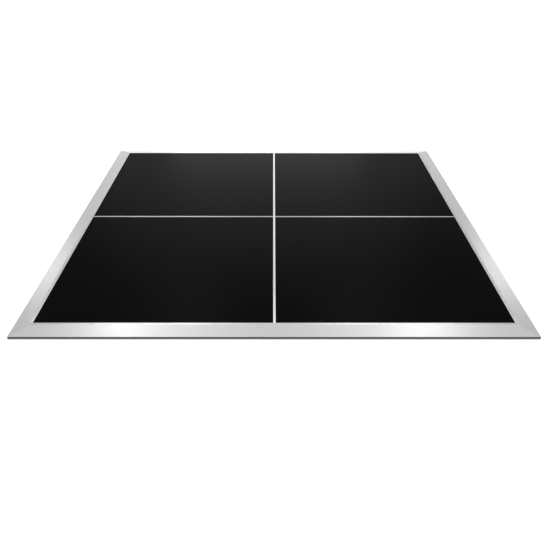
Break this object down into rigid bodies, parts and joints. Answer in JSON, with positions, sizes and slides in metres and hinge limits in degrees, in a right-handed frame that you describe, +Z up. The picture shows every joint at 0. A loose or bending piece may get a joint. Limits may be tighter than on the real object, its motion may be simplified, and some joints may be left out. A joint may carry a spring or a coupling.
{
  "type": "portable stage floor",
  "caption": "Low modular floor of square black panels in aluminium frames that lock edge to edge, with bevelled aluminium ramps mitred at the corners.",
  "frame": {"origin": "centre of the underside, where the floor stands on the ground", "axes": "+Z up, -Y towards the front edge, +X to the right as seen from the front"},
  "size_m": [1.965, 1.965, 0.0222],
  "materials": {
    "black_laminate": "black laminate sheet, satin, with a soft blurred reflection",
    "frame_aluminium": "satin anodised extrusion",
    "ramp_aluminium": "brushed along the length and clear anodised",
    "screw_steel": "stainless steel set screw",
    "plywood_core": "plywood board",
    "backing_sheet": "dark grey-brown phenolic balancing sheet, fine pebbled texture"
  },
  "bodies": {
    "front_left_panel": {"front_left_surface": "black_laminate", "front_left_core": "plywood_core", "front_left_backing": "backing_sheet", "front_left_rail_front": "frame_aluminium", "front_left_rail_left": "frame_aluminium", "front_left_rail_right": "frame_aluminium", "front_left_rail_rear": "frame_aluminium"},
    "front_right_panel": {"front_right_surface": "black_laminate", "front_right_core": "plywood_core", "front_right_backing": "backing_sheet", "front_right_rail_front": "frame_aluminium", "front_right_rail_left": "frame_aluminium", "front_right_rail_right": "frame_aluminium", "front_right_rail_rear": "frame_aluminium"},
    "rear_left_panel": {"rear_left_surface": "black_laminate", "rear_left_core": "plywood_core", "rear_left_backing": "backing_sheet", "rear_left_rail_front": "frame_aluminium", "rear_left_rail_left": "frame_aluminium", "rear_left_rail_right": "frame_aluminium", "rear_left_rail_rear": "frame_aluminium"},
    "rear_right_panel": {"rear_right_surface": "black_laminate", "rear_right_core": "plywood_core", "rear_right_backing": "backing_sheet", "rear_right_rail_front": "frame_aluminium", "rear_right_rail_left": "frame_aluminium", "rear_right_rail_right": "frame_aluminium", "rear_right_rail_rear": "frame_aluminium"},
    "front_ramp": {"front_ramp": "ramp_aluminium"},
    "left_ramp": {"left_ramp": "ramp_aluminium"},
    "right_ramp": {"right_ramp": "ramp_aluminium"},
    "rear_ramp": {"rear_ramp": "ramp_aluminium"},
    "front_left_screw_front_1": {"front_left_screw_front_1": "screw_steel"},
    "front_left_screw_front_2": {"front_left_screw_front_2": "screw_steel"},
    "front_left_screw_left_1": {"front_left_screw_left_1": "screw_steel"},
    "front_left_screw_left_2": {"front_left_screw_left_2": "screw_steel"},
    "front_right_screw_front_1": {"front_right_screw_front_1": "screw_steel"},
    "front_right_screw_front_2": {"front_right_screw_front_2": "screw_steel"},
    "front_right_screw_left_1": {"front_right_screw_left_1": "screw_steel"},
    "front_right_screw_left_2": {"front_right_screw_left_2": "screw_steel"},
    "rear_left_screw_front_1": {"rear_left_screw_front_1": "screw_steel"},
    "rear_left_screw_front_2": {"rear_left_screw_front_2": "screw_steel"},
    "rear_left_screw_left_1": {"rear_left_screw_left_1": "screw_steel"},
    "rear_left_screw_left_2": {"rear_left_screw_left_2": "screw_steel"},
    "rear_right_screw_front_1": {"rear_right_screw_front_1": "screw_steel"},
    "rear_right_screw_front_2": {"rear_right_screw_front_2": "screw_steel"},
    "rear_right_screw_left_1": {"rear_right_screw_left_1": "screw_steel"},
    "rear_right_screw_left_2": {"rear_right_screw_left_2": "screw_steel"},
    "right_ramp_screw_1": {"right_ramp_screw_1": "screw_steel"},
    "right_ramp_screw_2": {"right_ramp_screw_2": "screw_steel"},
    "right_ramp_screw_3": {"right_ramp_screw_3": "screw_steel"},
    "right_ramp_screw_4": {"right_ramp_screw_4": "screw_steel"},
    "rear_ramp_screw_1": {"rear_ramp_screw_1": "screw_steel"},
    "rear_ramp_screw_2": {"rear_ramp_screw_2": "screw_steel"},
    "rear_ramp_screw_3": {"rear_ramp_screw_3": "screw_steel"},
    "rear_ramp_screw_4": {"rear_ramp_screw_4": "screw_steel"}
  },
  "joints": [
    {"name": "front_right_slide", "type": "slide", "parent": "front_left_panel", "child": "front_right_panel", "axis": [1, 0, 0], "range_m": [0, 0.05]},
    {"name": "rear_left_slide", "type": "slide", "parent": "front_left_panel", "child": "rear_left_panel", "axis": [0, 1, 0], "range_m": [0, 0.05]},
    {"name": "rear_right_slide", "type": "slide", "parent": "rear_left_panel", "child": "rear_right_panel", "axis": [1, 0, 0], "range_m": [0, 0.05]},
    {"name": "front_ramp_slide", "type": "slide", "parent": "front_left_panel", "child": "front_ramp", "axis": [0, -1, 0], "range_m": [0, 0.05]},
    {"name": "left_ramp_slide", "type": "slide", "parent": "front_left_panel", "child": "left_ramp", "axis": [-1, 0, 0], "range_m": [0, 0.05]},
    {"name": "right_ramp_slide", "type": "slide", "parent": "front_right_panel", "child": "right_ramp", "axis": [1, 0, 0], "range_m": [0, 0.05]},
    {"name": "rear_ramp_slide", "type": "slide", "parent": "rear_left_panel", "child": "rear_ramp", "axis": [0, 1, 0], "range_m": [0, 0.05]},
    {"name": "front_left_screw_front_1_turn_out", "type": "slide", "parent": "front_left_panel", "child": "front_left_screw_front_1", "axis": [0, 0, 1], "range_m": [0, 0.002]},
    {"name": "front_left_screw_front_2_turn_out", "type": "slide", "parent": "front_left_panel", "child": "front_left_screw_front_2", "axis": [0, 0, 1], "range_m": [0, 0.002]},
    {"name": "front_left_screw_left_1_turn_out", "type": "slide", "parent": "front_left_panel", "child": "front_left_screw_left_1", "axis": [0, 0, 1], "range_m": [0, 0.002]},
    {"name": "front_left_screw_left_2_turn_out", "type": "slide", "parent": "front_left_panel", "child": "front_left_screw_left_2", "axis": [0, 0, 1], "range_m": [0, 0.002]},
    {"name": "front_right_screw_front_1_turn_out", "type": "slide", "parent": "front_right_panel", "child": "front_right_screw_front_1", "axis": [0, 0, 1], "range_m": [0, 0.002]},
    {"name": "front_right_screw_front_2_turn_out", "type": "slide", "parent": "front_right_panel", "child": "front_right_screw_front_2", "axis": [0, 0, 1], "range_m": [0, 0.002]},
    {"name": "front_right_screw_left_1_turn_out", "type": "slide", "parent": "front_right_panel", "child": "front_right_screw_left_1", "axis": [0, 0, 1], "range_m": [0, 0.002]},
    {"name": "front_right_screw_left_2_turn_out", "type": "slide", "parent": "front_right_panel", "child": "front_right_screw_left_2", "axis": [0, 0, 1], "range_m": [0, 0.002]},
    {"name": "rear_left_screw_front_1_turn_out", "type": "slide", "parent": "rear_left_panel", "child": "rear_left_screw_front_1", "axis": [0, 0, 1], "range_m": [0, 0.002]},
    {"name": "rear_left_screw_front_2_turn_out", "type": "slide", "parent": "rear_left_panel", "child": "rear_left_screw_front_2", "axis": [0, 0, 1], "range_m": [0, 0.002]},
    {"name": "rear_left_screw_left_1_turn_out", "type": "slide", "parent": "rear_left_panel", "child": "rear_left_screw_left_1", "axis": [0, 0, 1], "range_m": [0, 0.002]},
    {"name": "rear_left_screw_left_2_turn_out", "type": "slide", "parent": "rear_left_panel", "child": "rear_left_screw_left_2", "axis": [0, 0, 1], "range_m": [0, 0.002]},
    {"name": "rear_right_screw_front_1_turn_out", "type": "slide", "parent": "rear_right_panel", "child": "rear_right_screw_front_1", "axis": [0, 0, 1], "range_m": [0, 0.002]},
    {"name": "rear_right_screw_front_2_turn_out", "type": "slide", "parent": "rear_right_panel", "child": "rear_right_screw_front_2", "axis": [0, 0, 1], "range_m": [0, 0.002]},
    {"name": "rear_right_screw_left_1_turn_out", "type": "slide", "parent": "rear_right_panel", "child": "rear_right_screw_left_1", "axis": [0, 0, 1], "range_m": [0, 0.002]},
    {"name": "rear_right_screw_left_2_turn_out", "type": "slide", "parent": "rear_right_panel", "child": "rear_right_screw_left_2", "axis": [0, 0, 1], "range_m": [0, 0.002]},
    {"name": "right_ramp_screw_1_turn_out", "type": "slide", "parent": "right_ramp", "child": "right_ramp_screw_1", "axis": [0, 0, 1], "range_m": [0, 0.002]},
    {"name": "right_ramp_screw_2_turn_out", "type": "slide", "parent": "right_ramp", "child": "right_ramp_screw_2", "axis": [0, 0, 1], "range_m": [0, 0.002]},
    {"name": "right_ramp_screw_3_turn_out", "type": "slide", "parent": "right_ramp", "child": "right_ramp_screw_3", "axis": [0, 0, 1], "range_m": [0, 0.002]},
    {"name": "right_ramp_screw_4_turn_out", "type": "slide", "parent": "right_ramp", "child": "right_ramp_screw_4", "axis": [0, 0, 1], "range_m": [0, 0.002]},
    {"name": "rear_ramp_screw_1_turn_out", "type": "slide", "parent": "rear_ramp", "child": "rear_ramp_screw_1", "axis": [0, 0, 1], "range_m": [0, 0.002]},
    {"name": "rear_ramp_screw_2_turn_out", "type": "slide", "parent": "rear_ramp", "child": "rear_ramp_screw_2", "axis": [0, 0, 1], "range_m": [0, 0.002]},
    {"name": "rear_ramp_screw_3_turn_out", "type": "slide", "parent": "rear_ramp", "child": "rear_ramp_screw_3", "axis": [0, 0, 1], "range_m": [0, 0.002]},
    {"name": "rear_ramp_screw_4_turn_out", "type": "slide", "parent": "rear_ramp", "child": "rear_ramp_screw_4", "axis": [0, 0, 1], "range_m": [0, 0.002]}
  ],
  "couplings": [
    {"joint": "rear_right_slide", "follows": "front_right_slide", "ratio": 1}
  ]
}
